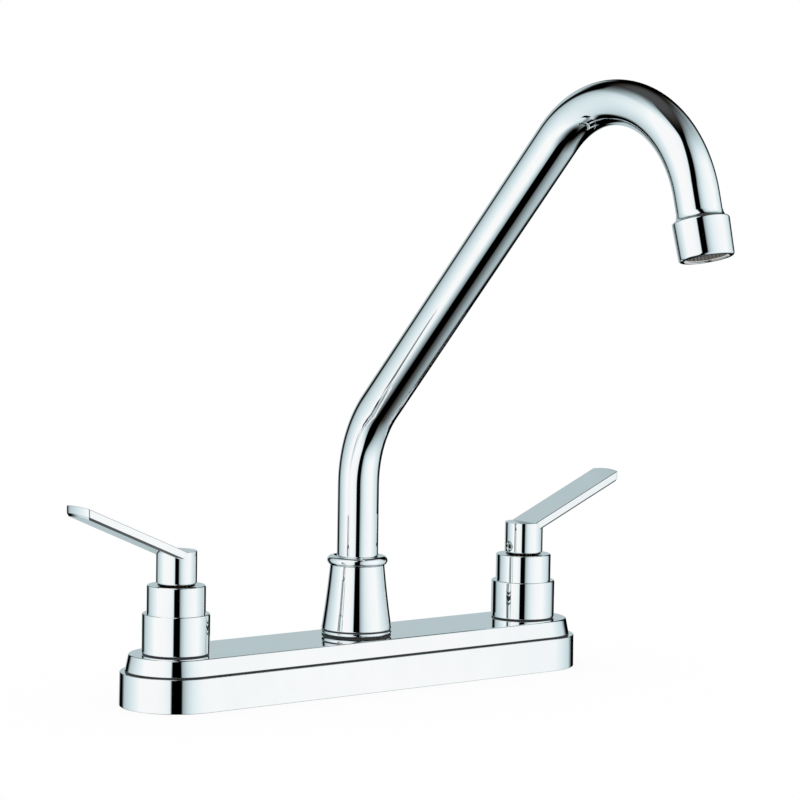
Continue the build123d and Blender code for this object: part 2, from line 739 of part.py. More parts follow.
export_step(cartridge_left.part, "parts/cartridge_left.step")
cartridge_right.part.label = "cartridge_right"
export_step(cartridge_right.part, "parts/cartridge_right.step")
stem_left.part.label = "stem_left"
export_step(stem_left.part, "parts/stem_left.step")
stem_right.part.label = "stem_right"
export_step(stem_right.part, "parts/stem_right.step")
stem_ring_left.part.label = "stem_ring_left"
export_step(stem_ring_left.part, "parts/stem_ring_left.step")
stem_ring_right.part.label = "stem_ring_right"
export_step(stem_ring_right.part, "parts/stem_ring_right.step")
collar_left.part.label = "collar_left"
export_step(collar_left.part, "parts/collar_left.step")
collar_right.part.label = "collar_right"
export_step(collar_right.part, "parts/collar_right.step")
handle_left.part.label = "handle_left"
export_step(handle_left.part, "parts/handle_left.step")
handle_right.part.label = "handle_right"
export_step(handle_right.part, "parts/handle_right.step")
set_screw_left.part.label = "set_screw_left"
export_step(set_screw_left.part, "parts/set_screw_left.step")
set_screw_right.part.label = "set_screw_right"
export_step(set_screw_right.part, "parts/set_screw_right.step")
spout_flange.part.label = "spout_flange"
export_step(spout_flange.part, "parts/spout_flange.step")
spout_cone.part.label = "spout_cone"
export_step(spout_cone.part, "parts/spout_cone.step")
thrust_washer.part.label = "thrust_washer"
export_step(thrust_washer.part, "parts/thrust_washer.step")
spout_bushing.part.label = "spout_bushing"
export_step(spout_bushing.part, "parts/spout_bushing.step")
spout_nipple.part.label = "spout_nipple"
export_step(spout_nipple.part, "parts/spout_nipple.step")
spout_ring_upper.part.label = "spout_ring_upper"
export_step(spout_ring_upper.part, "parts/spout_ring_upper.step")
spout_ring_lower.part.label = "spout_ring_lower"
export_step(spout_ring_lower.part, "parts/spout_ring_lower.step")
spout_tube.part.label = "spout_tube"
export_step(spout_tube.part, "parts/spout_tube.step")
outlet_adapter.part.label = "outlet_adapter"
export_step(outlet_adapter.part, "parts/outlet_adapter.step")
aerator_housing.part.label = "aerator_housing"
export_step(aerator_housing.part, "parts/aerator_housing.step")
aerator_washer.part.label = "aerator_washer"
export_step(aerator_washer.part, "parts/aerator_washer.step")
aerator_insert.part.label = "aerator_insert"
export_step(aerator_insert.part, "parts/aerator_insert.step")
aerator_screen.part.label = "aerator_screen"
export_step(aerator_screen.part, "parts/aerator_screen.step")
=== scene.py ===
"""The looks of a two handle kitchen faucet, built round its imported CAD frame.

It uses the frame of the CAD: +Z is up, -Y is the front, and the origin is on the sink deck under the
spout. The hot side is at -X and the cold side is at +X. The pieces are drawn in millimetres, and
Skin.piece turns these into metres.
"""

import logging
import math
from collections.abc import Sequence
from dataclasses import dataclass
from enum import Enum
from functools import reduce

import bmesh
import bpy
from mathutils import Matrix, Vector, geometry


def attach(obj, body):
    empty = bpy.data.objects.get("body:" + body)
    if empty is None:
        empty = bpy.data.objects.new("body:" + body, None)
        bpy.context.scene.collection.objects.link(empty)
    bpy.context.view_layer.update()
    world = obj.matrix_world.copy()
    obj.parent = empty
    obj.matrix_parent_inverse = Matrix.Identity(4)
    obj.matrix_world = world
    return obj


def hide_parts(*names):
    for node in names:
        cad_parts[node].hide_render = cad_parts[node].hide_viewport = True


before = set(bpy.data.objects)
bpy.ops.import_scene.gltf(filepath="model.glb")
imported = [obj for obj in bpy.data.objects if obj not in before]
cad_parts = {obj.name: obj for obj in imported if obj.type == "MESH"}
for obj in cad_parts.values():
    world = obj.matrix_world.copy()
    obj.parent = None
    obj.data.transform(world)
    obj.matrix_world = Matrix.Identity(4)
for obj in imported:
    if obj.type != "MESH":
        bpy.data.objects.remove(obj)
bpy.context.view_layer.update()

log = logging.getLogger("faucet")

Socket = bpy.types.NodeSocket
Value = float | Socket
Pair = tuple[float, float]
Triple = tuple[float, float, float]
Stop = tuple[float, Triple]
UP = Vector((0.0, 0.0, 1.0))
WHITE = (1.0, 1.0, 1.0, 1.0)


# ---- node trees ----


class Wiring:
    """Wires a node tree one plain step at a time."""

    def __init__(self, tree: bpy.types.NodeTree) -> None:
        """Empties the node tree of a material or of the world."""
        self.tree = tree
        tree.nodes.clear()

    def feed(self, socket: Socket, value: Value | Sequence[float]) -> None:
        """Links a socket to another one, or sets its value.

        Args:
            socket: the input to feed.
            value: an output socket, a number or a vector.
        """
        if isinstance(value, Socket):
            self.tree.links.new(value, socket)
        else:
            socket.default_value = value

    def node(self, kind: str, *inputs: Value | Sequence[float], **settings: object) -> bpy.types.Node:
        """Adds a node.

        Args:
            kind: its type without the ShaderNode in front.
            inputs: what its first inputs get, in order.
            settings: properties to set on it.

        Returns:
            The new node.
        """
        made = self.tree.nodes.new("ShaderNode" + kind)
        for name, setting in settings.items():
            setattr(made, name, setting)
        for socket, value in zip(made.inputs, inputs):
            self.feed(socket, value)
        return made

    def math(self, operation: str, *values: Value) -> Socket:
        """Adds one Math node and gives its result."""
        return self.node("Math", *values, operation=operation).outputs[0]

    def chain(self, operation: str, values: Sequence[Value]) -> Value:
        """Joins any number of values, two at a time, with one kind of Math node."""
        return reduce(lambda first, second: self.math(operation, first, second), values)

    def dot(self, vector: Socket, direction: Vector) -> Socket:
        """Adds the dot product of a socket's vector and a fixed one."""
        return self.node("VectorMath", vector, direction, operation="DOT_PRODUCT").outputs["Value"]

    def ease(self, value: Value, start: float, end: float, low: float = 0.0, high: float = 1.0,
             curve: str = "SMOOTHSTEP") -> Socket:
        """Adds a Map Range node that goes from low, at start and before it, to high, at end and past it."""
        return self.node("MapRange", value, start, end, low, high, interpolation_type=curve).outputs[0]

    def ramp(self, value: Value, stops: Sequence[Stop]) -> Socket:
        """Adds a colour ramp.

        Args:
            value: what picks the colour.
            stops: places and colours, in order.

        Returns:
            The colour.
        """
        made = self.node("ValToRGB", value)
        elements = made.color_ramp.elements
        while len(elements) < len(stops):
            elements.new(0.5)
        for element, (place, colour) in zip(elements, stops):
            element.position = place
            element.color = (*colour, 1.0)
        return made.outputs["Color"]


def new_material(name: str) -> tuple[bpy.types.Material, Wiring]:
    """Makes a material with an empty node tree.

    Args:
        name: its name.

    Returns:
        The material and its wiring.
    """
    made = bpy.data.materials.new(name)
    made.use_nodes = True
    return made, Wiring(made.node_tree)


def new_object(name: str, data: bpy.types.ID) -> bpy.types.Object:
    """Makes an object and links it to the scene.

    Args:
        name: its name.
        data: its mesh or camera.

    Returns:
        The object.
    """
    made = bpy.data.objects.new(name, data)
    bpy.context.scene.collection.objects.link(made)
    return made


# ---- finishes ----


@dataclass(frozen=True)
class Grain:
    """Noise of a real size, in metres, with octaves of finer noise. It can be finer along an axis."""

    size: float
    octaves: float
    strength: float = 0.5
    finer: Triple = (1.0, 1.0, 1.0)

    def noise(self, wiring: Wiring, place: Socket) -> Socket:
        """Adds the noise.

        Args:
            wiring: the material's wiring.
            place: the coordinates on the piece, in metres.

        Returns:
            The noise, from 0 to 1.
        """
        finer = [part / self.size for part in self.finer]
        scaled = wiring.node("VectorMath", place, finer, operation="MULTIPLY").outputs[0]
        # After the place come the unused fourth coordinate and the scale.
        return wiring.node("TexNoise", scaled, 0.0, 1.0, self.octaves, self.strength).outputs["Fac"]


@dataclass(frozen=True)
class Finish:
    """A finish of the faucet, made into one material: soft patches of a second colour over a fine relief."""

    name: str
    plain: Triple
    patched: Triple
    smooth: float
    dull: float
    patches: Grain
    relief: Grain
    depth: float
    colour_span: Pair
    dull_span: Pair
    metallic: float = 1.0
    dull_relief: bool = False

    def material(self) -> bpy.types.Material:
        """Makes the material, or finds it again.

        Returns:
            The material.
        """
        if self.name in bpy.data.materials:
            return bpy.data.materials[self.name]
        made, wiring = new_material(self.name)
        place = wiring.node("TexCoord").outputs["Object"]
        patches, relief = self.patches.noise(wiring, place), self.relief.noise(wiring, place)
        colour = wiring.ramp(patches, list(zip(self.colour_span, (self.plain, self.patched))))
        dulled = relief if self.dull_relief else patches
        roughness = wiring.ease(dulled, *self.dull_span, self.smooth, self.dull)
        shader = wiring.node("BsdfPrincipled", colour, self.metallic, roughness)
        bump = wiring.node("Bump")
        bump.inputs["Distance"].default_value = self.depth
        wiring.feed(bump.inputs["Height"], relief)
        wiring.feed(shader.inputs["Normal"], bump.outputs[0])
        wiring.node("OutputMaterial", shader.outputs[0])
        return made


@dataclass(frozen=True)
class Chrome(Finish):
    """Bright polished chrome with a little haze from wiping and the faintest ripple of the metal below."""

    plain: Triple = (0.945, 0.955, 0.96)
    patched: Triple = (0.915, 0.93, 0.94)
    smooth: float = 0.018
    dull: float = 0.05
    patches: Grain = Grain(0.018, 3.0, 0.6, (1.0, 1.0, 0.5))
    relief: Grain = Grain(0.03, 1.0)
    depth: float = 2e-6
    colour_span: Pair = (0.35, 0.7)
    dull_span: Pair = (0.4, 0.75)


@dataclass(frozen=True)
class Machined(Finish):
    """Turned or cast metal, dull in places, with fine tool lines round the vertical axis."""

    patches: Grain = Grain(0.007, 4.0, 0.65)
    relief: Grain = Grain(0.0005, 1.0, 0.5, (0.02, 0.02, 1.0))
    depth: float = 8e-6
    colour_span: Pair = (0.3, 0.75)
    dull_span: Pair = (0.35, 0.75)


@dataclass(frozen=True)
class Moulded(Finish):
    """Moulded rubber, plastic or fired ceramic, with a fine skin and faint mottling."""

    patches: Grain = Grain(0.006, 4.0, 0.6)
    relief: Grain = Grain(0.0004, 2.0, 0.6)
    depth: float = 1e-5
    colour_span: Pair = (0.3, 0.7)
    dull_span: Pair = (0.3, 0.7)
    metallic: float = 0.0
    dull_relief: bool = True


FINISHES: dict[str, Finish] = {
    "chrome_plate": Chrome("deck_chrome"),
    "chrome_tube": Chrome("spout_chrome"),
    "chrome_handle": Chrome("handle_chrome"),
    "brass": Machined("turned_brass", (0.80, 0.60, 0.30), (0.60, 0.42, 0.20), 0.24, 0.42),
    "rubber": Moulded("black_rubber", (0.028, 0.028, 0.029), (0.045, 0.044, 0.043), 0.55, 0.75),
    "ceramic": Moulded("fired_ceramic", (0.86, 0.86, 0.83), (0.82, 0.815, 0.78), 0.12, 0.2, depth=1e-6),
    "nylon": Moulded("white_acetal", (0.80, 0.80, 0.76), (0.76, 0.76, 0.71), 0.35, 0.48),
    "nut_plastic": Moulded("black_nylon", (0.035, 0.036, 0.04), (0.055, 0.056, 0.06), 0.4, 0.6),
    "zinc": Machined("plated_steel", (0.66, 0.68, 0.69), (0.52, 0.54, 0.55), 0.3, 0.45),
    "steel": Machined("stainless_steel", (0.62, 0.61, 0.60), (0.50, 0.49, 0.48), 0.22, 0.36),
}
# Painted shade: the stems are a dark brass because they stand in the shadowed gap under the hubs.
SHADED_STEM_BRASS = Machined("shade_darkened_brass", (0.16, 0.11, 0.055), (0.09, 0.065, 0.035), 0.45, 0.65)
OWN_FINISHES: dict[str, Finish] = {"stem_left": SHADED_STEM_BRASS, "stem_right": SHADED_STEM_BRASS}
# Painted shade: stainless wire darkened well below the steel's own colour, for the shade inside the outlet's
# mouth.
SHADED_WIRE = Machined("shade_darkened_wire", (0.34, 0.31, 0.29), (0.20, 0.18, 0.17), 0.35, 0.5,
                      patches=Grain(0.003, 4.0, 0.65))


# ---- studio ----


@dataclass
class Camera:
    """The camera that took the picture."""

    turn: float = 38.87274
    tilt: float = 4.74617
    roll: float = 0.917334
    place: Triple = (-0.9298084, -1.1829832, 0.25700814)
    lens: float = 147.6957
    sensor: float = 36.0

    def build(self) -> None:
        """Makes the camera and hands it to the scene."""
        turn, tilt, roll = (math.radians(angle) for angle in (self.turn, self.tilt, self.roll))
        back = Vector((-math.sin(turn) * math.cos(tilt), -math.cos(turn) * math.cos(tilt), math.sin(tilt)))
        right = UP.cross(back).normalized()
        across = Matrix.Rotation(roll, 3, back) @ right
        above = back.cross(across)
        data = bpy.data.cameras.new("camera")
        data.lens, data.sensor_width = self.lens, self.sensor
        made = new_object("camera", data)
        facing = Matrix((across, above, back)).transposed().to_4x4()
        made.matrix_world = Matrix.Translation(self.place) @ facing
        bpy.context.scene.camera = made


@dataclass(frozen=True)
class SoftPanel:
    """A tall soft light panel on one side of the camera's slit.

    Every pair says between which two degrees, seen from the tent's middle, the light eases on or off.
    """

    edge: Pair
    dim_edge: Pair
    fade: Triple
    end: Pair
    end_lean: float
    top: Pair
    foot: Pair
    top_drop: float = 0.17
    foot_drop: float = 0.3
    drop_start: float = 50.0
    end_tuck: float = 0.0
    lean_span: Pair = (-15.0, 17.0)
    tuck_span: Pair = (-22.0, -42.0)

    def light(self, wiring: Wiring, across: Value, height: Value) -> Socket:
        """Works out how bright the panel is in a direction.

        Args:
            wiring: the tent's wiring.
            across: degrees from the slit, towards this panel.
            height: degrees above the tent's middle.

        Returns:
            The brightness, where 1 is white.
        """
        depth, reach = self.dim_edge
        past_edge = wiring.math("DIVIDE", wiring.math("SUBTRACT", self.edge[1], across), reach)
        dimming = wiring.math("MULTIPLY", wiring.math("EXPONENT", past_edge), depth)
        outward = wiring.math("MAXIMUM", wiring.math("SUBTRACT", across, self.drop_start), 0.0)
        raised = wiring.math("ADD", height, wiring.math("MULTIPLY", outward, self.top_drop))
        sunk = wiring.math("ADD", height, wiring.math("MULTIPLY", outward, self.foot_drop))
        lean = wiring.ease(height, *self.lean_span, 0.0, self.end_lean, "LINEAR")
        tuck = wiring.ease(height, *self.tuck_span, 0.0, self.end_tuck)
        tucked = wiring.math("ADD", wiring.math("SUBTRACT", across, lean), tuck)
        return wiring.chain("MULTIPLY", [
            wiring.ease(across, *self.edge),
            wiring.math("SUBTRACT", 1.0, wiring.math("MINIMUM", dimming, 1.0)),
            wiring.ease(across, *self.fade[:2], 1.0, self.fade[2], "LINEAR"),
            wiring.ease(tucked, *self.end, 1.0, 0.0),
            wiring.ease(raised, *self.top, 1.0, 0.0),
            wiring.ease(sunk, *self.foot, 1.0, 0.0)])


@dataclass
class LightTent:
    """The tent round the faucet that its chrome mirrors.

    It has two soft panels with a slit for the camera, a pale patch of wall behind the faucet, and a dark
    ceiling and floor. Lengths are metres and angles are degrees seen from the tent's middle.
    """

    radius: float = 0.9
    middle: Triple = (0.0, 0.0, 0.08)
    facing: float = 38.87
    left: SoftPanel = SoftPanel(
        edge=(7.5, 11.5), dim_edge=(0.12, 8.0), fade=(70.0, 120.0, 0.56), end=(114.0, 128.0), end_lean=9.0,
        top=(52.0, 82.0), foot=(-29.0, -69.0), end_tuck=12.0)
    right: SoftPanel = SoftPanel(
        edge=(10.0, 13.5), dim_edge=(0.6, 14.0), fade=(80.0, 125.0, 0.68), end=(124.0, 142.0), end_lean=-10.0,
        top=(40.0, 72.0), foot=(-26.0, -84.0), foot_drop=-0.08)
    lean: Triple = (29.0, 56.0, 15.0)
    spread_low: Triple = (-34.0, -66.0, 28.0)
    spread_high: Triple = (52.0, 76.0, 40.0)
    wall_half: Pair = (18.0, 28.0)
    wall_turn: float = 6.0
    wall_middle: Triple = (2.0, 7.0, 13.0)
    wall_off: Pair = (8.0, 6.0)
    wall_top: Pair = (38.0, 50.0)
    wall_foot: Pair = (-19.0, -26.0)
    wall_light: float = 0.56
    ceiling: Triple = (58.0, 80.0, 0.07)
    tints: tuple[Stop, ...] = (
        (0.0, (0.0, 0.0, 0.0)), (0.03, (0.031, 0.029, 0.024)), (0.08, (0.078, 0.082, 0.085)),
        (0.4, (0.33, 0.41, 0.43)), (0.6, (0.51, 0.61, 0.635)), (0.8, (0.71, 0.82, 0.85)),
        (0.92, (0.86, 0.925, 0.945)), (1.0, (1.0, 1.0, 1.0)))

    def build(self) -> None:
        """Makes the tent, which only mirrored rays meet."""
        mesh = bpy.data.meshes.new("light_tent")
        shape = bmesh.new()
        bmesh.ops.create_uvsphere(shape, u_segments=96, v_segments=48, radius=self.radius)
        shape.to_mesh(mesh)
        shape.free()
        made = new_object("light_tent", mesh)
        made.location = self.middle
        made.visible_camera = made.visible_diffuse = made.visible_transmission = False
        made.visible_volume_scatter = made.visible_shadow = False
        mesh.materials.append(self.glow())

    def glow(self) -> bpy.types.Material:
        """Makes the tent's glowing material.

        Returns:
            The material.
        """
        made, wiring = new_material("tent_glow")
        made.cycles.emission_sampling = "NONE"
        place = wiring.node("TexCoord").outputs["Object"]
        look = wiring.node("VectorMath", place, operation="NORMALIZE").outputs[0]
        turn = math.radians(self.facing)
        ahead = wiring.dot(look, Vector((-math.sin(turn), -math.cos(turn), 0.0)))
        aside = wiring.dot(look, Vector((math.cos(turn), -math.sin(turn), 0.0)))
        degree = math.degrees(1.0)
        around = wiring.math("MULTIPLY", wiring.math("ARCTAN2", aside, ahead), degree)
        rise = wiring.math("ARCSINE", wiring.dot(look, UP))
        height = wiring.math("MULTIPLY", rise, degree)
        low, high, ceiling = (wiring.ease(height, *span[:2], 0.0, span[2])
                              for span in (self.spread_low, self.spread_high, self.ceiling))
        spread = wiring.math("ADD", low, high)
        lean = wiring.ease(height, *self.lean[:2], 0.0, self.lean[2], "LINEAR")
        rightward = wiring.math("SUBTRACT", around, lean)
        left, right = (panel.light(wiring, wiring.math("SUBTRACT", side, spread), height) for panel, side in (
            (self.left, wiring.math("MULTIPLY", rightward, -1.0)), (self.right, rightward)))
        light = wiring.chain("ADD", [left, right, self.wall(wiring, around, height), ceiling])
        emission = wiring.node("Emission", wiring.ramp(light, self.tints))
        wiring.node("OutputMaterial", emission.outputs[0])
        return made

    def wall(self, wiring: Wiring, around: Value, height: Value) -> Socket:
        """Works out the light of the pale wall behind the faucet.

        Args:
            wiring: the tent's wiring.
            around: degrees round the tent.
            height: degrees above its middle.

        Returns:
            The brightness.
        """
        behind = wiring.math("SUBTRACT", wiring.math("MULTIPLY", wiring.math("SIGN", around), 180.0), around)
        off = wiring.math("ABSOLUTE", wiring.math("SUBTRACT", height, self.wall_middle[0]))
        shift = wiring.ease(off, *self.wall_middle[1:], self.wall_turn, self.wall_turn + self.wall_off[0])
        narrowed = wiring.ease(off, *self.wall_middle[1:], 0.0, self.wall_off[1])
        aside = wiring.math("ABSOLUTE", wiring.math("ADD", behind, shift))
        sideways = wiring.ease(wiring.math("ADD", aside, narrowed), *self.wall_half, self.wall_light, 0.0)
        high = wiring.ease(height, *self.wall_top, 1.0, 0.0)
        low = wiring.ease(height, *self.wall_foot, 1.0, 0.0)
        return wiring.math("MULTIPLY", sideways, wiring.math("MULTIPLY", high, low))


@dataclass
class Studio:
    """Plain white light all round, and a pale floor."""

    floor_radius: float = 6.0
    floor_shadow: float = 0.12

    def build(self) -> None:
        """Makes the world and the floor."""
        world = bpy.data.worlds.new("studio")
        bpy.context.scene.world = world
        world.use_nodes = True
        wiring = Wiring(world.node_tree)
        wiring.node("OutputWorld", wiring.node("Background", WHITE).outputs[0])
        self.lay_floor()

    def lay_floor(self) -> None:
        """Lays the pale floor, which the polished metal doesn't mirror."""
        mesh = bpy.data.meshes.new("floor")
        reach = self.floor_radius
        corners = [(-reach, -reach, 0.0), (reach, -reach, 0.0), (reach, reach, 0.0), (-reach, reach, 0.0)]
        mesh.from_pydata(corners, [], [(0, 1, 2, 3)])
        made = new_object("floor", mesh)
        made.visible_glossy = False
        material, wiring = new_material("floor")
        matt, white = wiring.node("BsdfDiffuse", WHITE), wiring.node("Emission", WHITE)
        seen = wiring.node("LightPath").outputs["Is Camera Ray"]
        glow = wiring.math("MULTIPLY", seen, 1.0 - self.floor_shadow)
        mix = wiring.node("MixShader", glow, matt.outputs[0], white.outputs[0])
        wiring.node("OutputMaterial", mix.outputs[0])
        mesh.materials.append(material)


# ---- meshes ----

MM = 0.001
VALVE_X = 101.6
SCREW_HEIGHT = 57.7
OVERCUT = 1.0
# Play round the thin black rings that stand in for painted shade in the joints.
SHADE_RING_PLAY = 0.02
RING_EDGE = 0.15
ON_AXIS = 1e-6
TRUE_NORMAL = "true_normal"
Stroke = list[tuple[Vector, Vector]]
Corner = tuple[float, ...]


class Side(Enum):
    """The two valves, by the CAD's names and the direction in which each one lies."""

    HOT = ("left", "hot_handle", -1.0)
    COLD = ("right", "cold_handle", 1.0)

    def __init__(self, word: str, handle_body: str, way: float) -> None:
        """Works out what takes a shape drawn round the vertical axis to this side's valve and set screw.

        Args:
            word: what ends the names of its CAD nodes.
            handle_body: the body that turns with its handle.
            way: the direction that it lies in, which a shape's +X side faces.
        """
        self.word, self.handle_body = word, handle_body
        self.valve = Matrix.Diagonal((way, 1.0, 1.0, 1.0)) @ Matrix.Translation((VALVE_X, 0.0, 0.0))
        level = Matrix.Rotation(-math.pi / 2.0, 4, "Y")
        self.screw = self.valve @ Matrix.Translation(UP * SCREW_HEIGHT) @ level


def bearing(angle: float) -> Vector:
    """Finds the direction at an angle in radians."""
    return Vector((math.cos(angle), math.sin(angle)))


def arc(centre: Sequence[float], radius: float, first: float, last: float, steps: int) -> Stroke:
    """Draws an arc.

    Args:
        centre: its centre.
        radius: its radius, below 0 where the solid lies outside it.
        first: the angle where it starts, in degrees.
        last: the angle where it ends.
        steps: straight steps in it.

    Returns:
        Its points with the true normal there.
    """
    made: Stroke = []
    for step in range(steps + 1):
        normal = bearing(math.radians(first + (last - first) * step / steps))
        made.append((Vector(centre) + normal * radius, normal))
    return made


def rounded(corners: Sequence[Corner], closed: bool = False, steps: int = 6) -> list[Stroke]:
    """Draws an outline with rounded corners. The solid lies on its left.

    Args:
        corners: across, up and the radius of the rounding if there is one.
        closed: whether the last corner joins the first.
        steps: straight steps in each rounding.

    Returns:
        Its lines and arcs, each as points with the true normal there.
    """
    count = len(corners)
    cuts: list[tuple[Vector, Vector, Stroke]] = []
    for index, (across, up, *radii) in enumerate(corners):
        here = Vector((across, up))
        start, end, bend = here, here, []
        for radius in radii:
            towards = (here - Vector(corners[index - 1][:2])).normalized()
            onward = (Vector(corners[(index + 1) % count][:2]) - here).normalized()
            turn = math.atan2(towards.x * onward.y - towards.y * onward.x, towards.dot(onward))
            reach = radius * math.tan(abs(turn) / 2.0)
            start, end = here - towards * reach, here + onward * reach
            bulge = math.copysign(radius, turn)
            first = math.atan2(-towards.x, towards.y)
            centre = start - bearing(first) * bulge
            bend = arc(centre, bulge, math.degrees(first), math.degrees(first + turn), steps)
        cuts.append((start, end, bend))
    strokes = [cuts[0][2]] if closed and cuts[0][2] else []
    for index in range(count if closed else count - 1):
        leave, (arrive, _, bend) = cuts[index][1], cuts[(index + 1) % count]
        along = (arrive - leave).normalized()
        normal = Vector((along.y, -along.x))
        strokes.append([(leave, normal), (arrive, normal)])
        if bend and not (closed and index == count - 1):
            strokes.append(bend)
    return strokes


def circle(count: int = 128) -> Stroke:
    """The way round a turned piece: count directions, each with the centre that it starts from."""
    turns = [2.0 * math.pi * index / count for index in range(count)]
    return [(Vector((0.0, 0.0, 0.0)), bearing(turn).to_3d()) for turn in turns]


def slot(half: float, count: int = 96) -> Stroke:
    """The way round a slot with two round ends.

    Args:
        half: half the distance between the ends' centres.
        count: directions round each end.

    Returns:
        For each one the centre that it starts from and the direction.
    """
    made = []
    for side in (1, -1):
        for index in range(count + 1):
            turn = math.pi * (index / count - 0.5) + (0.0 if side > 0 else math.pi)
            made.append((Vector((side * half, 0.0, 0.0)), bearing(turn).to_3d()))
    return made


class Skin:
    """A closed skin made of rings of points. It keeps the true normal at every corner of every face."""

    def __init__(self) -> None:
        """Starts with nothing."""
        self.points: list[Vector] = []
        self.faces: list[list[int]] = []
        self.normals: list[Vector] = []

    def ring(self, places: Sequence[Vector]) -> list[int]:
        """Adds points, in millimetres, and gives their numbers."""
        self.points.extend(places)
        return list(range(len(self.points) - len(places), len(self.points)))

    def face(self, corners: Sequence[int], normals: Sequence[Vector]) -> None:
        """Adds a face, turned the way its normals point.

        Args:
            corners: the numbers of its points.
            normals: the true normal at each one.
        """
        kept = [index for index in range(len(corners)) if corners[index] != corners[index - 1]]
        if len(kept) < 3:
            return
        corners = [corners[index] for index in kept]
        truth = [normals[index] for index in kept]
        facing = geometry.normal([self.points[corner] for corner in corners])
        if facing.dot(sum(truth, Vector((0.0, 0.0, 0.0)))) < 0.0:
            corners, truth = corners[::-1], truth[::-1]
        self.faces.append(list(corners))
        self.normals.extend(truth)

    def band(self, low: Sequence[int], high: Sequence[int], low_normals: Sequence[Vector],
             high_normals: Sequence[Vector]) -> None:
        """Joins two rings of as many points with faces. Each ring comes with the true normals along it."""
        for back, index in enumerate(range(len(low)), -1):
            self.face((low[back], low[index], high[index], high[back]),
                      (low_normals[back], low_normals[index], high_normals[index], high_normals[back]))

    def cap(self, rim: Sequence[int], normal: Vector) -> None:
        """Closes a flat ring with one face that looks along a normal."""
        self.face(rim, [normal] * len(rim))

    def sweep(self, path: Sequence[Sequence[Vector]], radius: float, count: int,
              outward: float = 1.0) -> list[list[int]]:
        """Runs a round skin along a path.

        Args:
            path: points, each with the two directions across the path.
            radius: the skin's radius.
            count: points in each ring.
            outward: 1 for an outer skin and -1 for an inner one.

        Returns:
            Its rings.
        """
        rings, truths = [], []
        for place, aside, inside in path:
            spokes = [aside * direction.x + inside * direction.y for _, direction in circle(count)]
            rings.append(self.ring([place + spoke * radius for spoke in spokes]))
            truths.append([spoke * outward for spoke in spokes])
            if len(rings) > 1:
                self.band(*rings[-2:], *truths[-2:])
        return rings

    def turn(self, strokes: Sequence[Stroke], way: Stroke, closed: bool = True) -> "Skin":
        """Takes a profile round.

        Args:
            strokes: the profile's lines and arcs, across and up.
            way: the centres and directions that it goes round.
            closed: whether the profile's end meets its start. If not, flat ends off the axis are capped.

        Returns:
            The skin itself.
        """
        first: list[int] = []
        last: list[int] = []
        for number, stroke in enumerate(strokes):
            for index, (place, normal) in enumerate(stroke):
                truths = [direction * normal.x + UP * normal.y for _, direction in way]
                if index == 0 and last:
                    ring = last
                elif closed and number == len(strokes) - 1 and index == len(stroke) - 1:
                    ring = first
                elif abs(place.x) < ON_AXIS and not any(centre.length for centre, _ in way):
                    ring = self.ring([UP * place.y]) * len(way)
                else:
                    ring = self.ring([centre + direction * place.x + UP * place.y
                                      for centre, direction in way])
                if index:
                    self.band(last, ring, before, truths)
                first, last, before = first or ring, ring, truths
        if not closed:
            for rim, facing in ((first, strokes[0][0]), (last, strokes[-1][-1])):
                if len(set(rim)) > 1:
                    self.cap(rim, UP * math.copysign(1.0, facing[1].y or 1.0))
        return self

    def move(self, matrix: Matrix) -> "Skin":
        """Moves, turns, shears or mirrors the skin.

        Args:
            matrix: what it does to the points.

        Returns:
            The skin itself.
        """
        self.points = [matrix @ place for place in self.points]
        truth = matrix.to_3x3().inverted().transposed()
        self.normals = [(truth @ normal).normalized() for normal in self.normals]
        if matrix.determinant() < 0.0:
            start = 0
            for face in self.faces:
                end = start + len(face)
                face.reverse()
                self.normals[start:end] = self.normals[start:end][::-1]
                start = end
        return self

    def piece(self, name: str) -> bpy.types.Object:
        """Makes a mesh object of the skin.

        Args:
            name: the piece's name.

        Returns:
            The piece.
        """
        mesh = bpy.data.meshes.new(name)
        mesh.from_pydata([tuple(place * MM) for place in self.points], [], self.faces)
        keep = mesh.attributes.new(TRUE_NORMAL, "FLOAT_VECTOR", "CORNER")
        keep.data.foreach_set("vector", [part for normal in self.normals for part in normal])
        return new_object(name, mesh)


def turned(corners: Sequence[Corner], count: int = 128, steps: int = 6) -> Skin:
    """Turns a piece round the vertical axis in count directions. An outline from the axis stays open."""
    closed = bool(corners[0][0])
    return Skin().turn(rounded(corners, closed, steps), circle(count), closed)


def rod(radius: float, foot: float, top: float, count: int = 48) -> Skin:
    """Makes a plain rod on the vertical axis to cut a hole with."""
    return turned([(0.0, foot), (radius, foot), (radius, top), (0.0, top)], count)


def thin_ring(bore: float, radius: float, foot: float, top: float) -> Skin:
    """Makes a thin flat ring with small edges, between two radii and two heights."""
    edge = min(RING_EDGE, (top - foot) / 4.0)
    return turned([(bore, foot, edge), (radius, foot, edge), (radius, top, edge), (bore, top, edge)], steps=3)


def carve(piece: bpy.types.Object, tool: Skin, way: str = "DIFFERENCE") -> None:
    """Cuts a second shape out of a piece or joins it to the piece.

    Args:
        piece: the piece.
        tool: the second shape.
        way: DIFFERENCE or UNION.
    """
    other = tool.piece("tool")
    cut = piece.modifiers.new("carve", "BOOLEAN")
    cut.operation, cut.solver, cut.object = way, "EXACT", other
    bpy.context.view_layer.update()
    mesh = bpy.data.meshes.new_from_object(piece.evaluated_get(bpy.context.evaluated_depsgraph_get()))
    piece.modifiers.clear()
    old, piece.data = piece.data, mesh
    mesh.name = piece.name
    bpy.data.meshes.remove(old)
    bpy.data.meshes.remove(other.data)


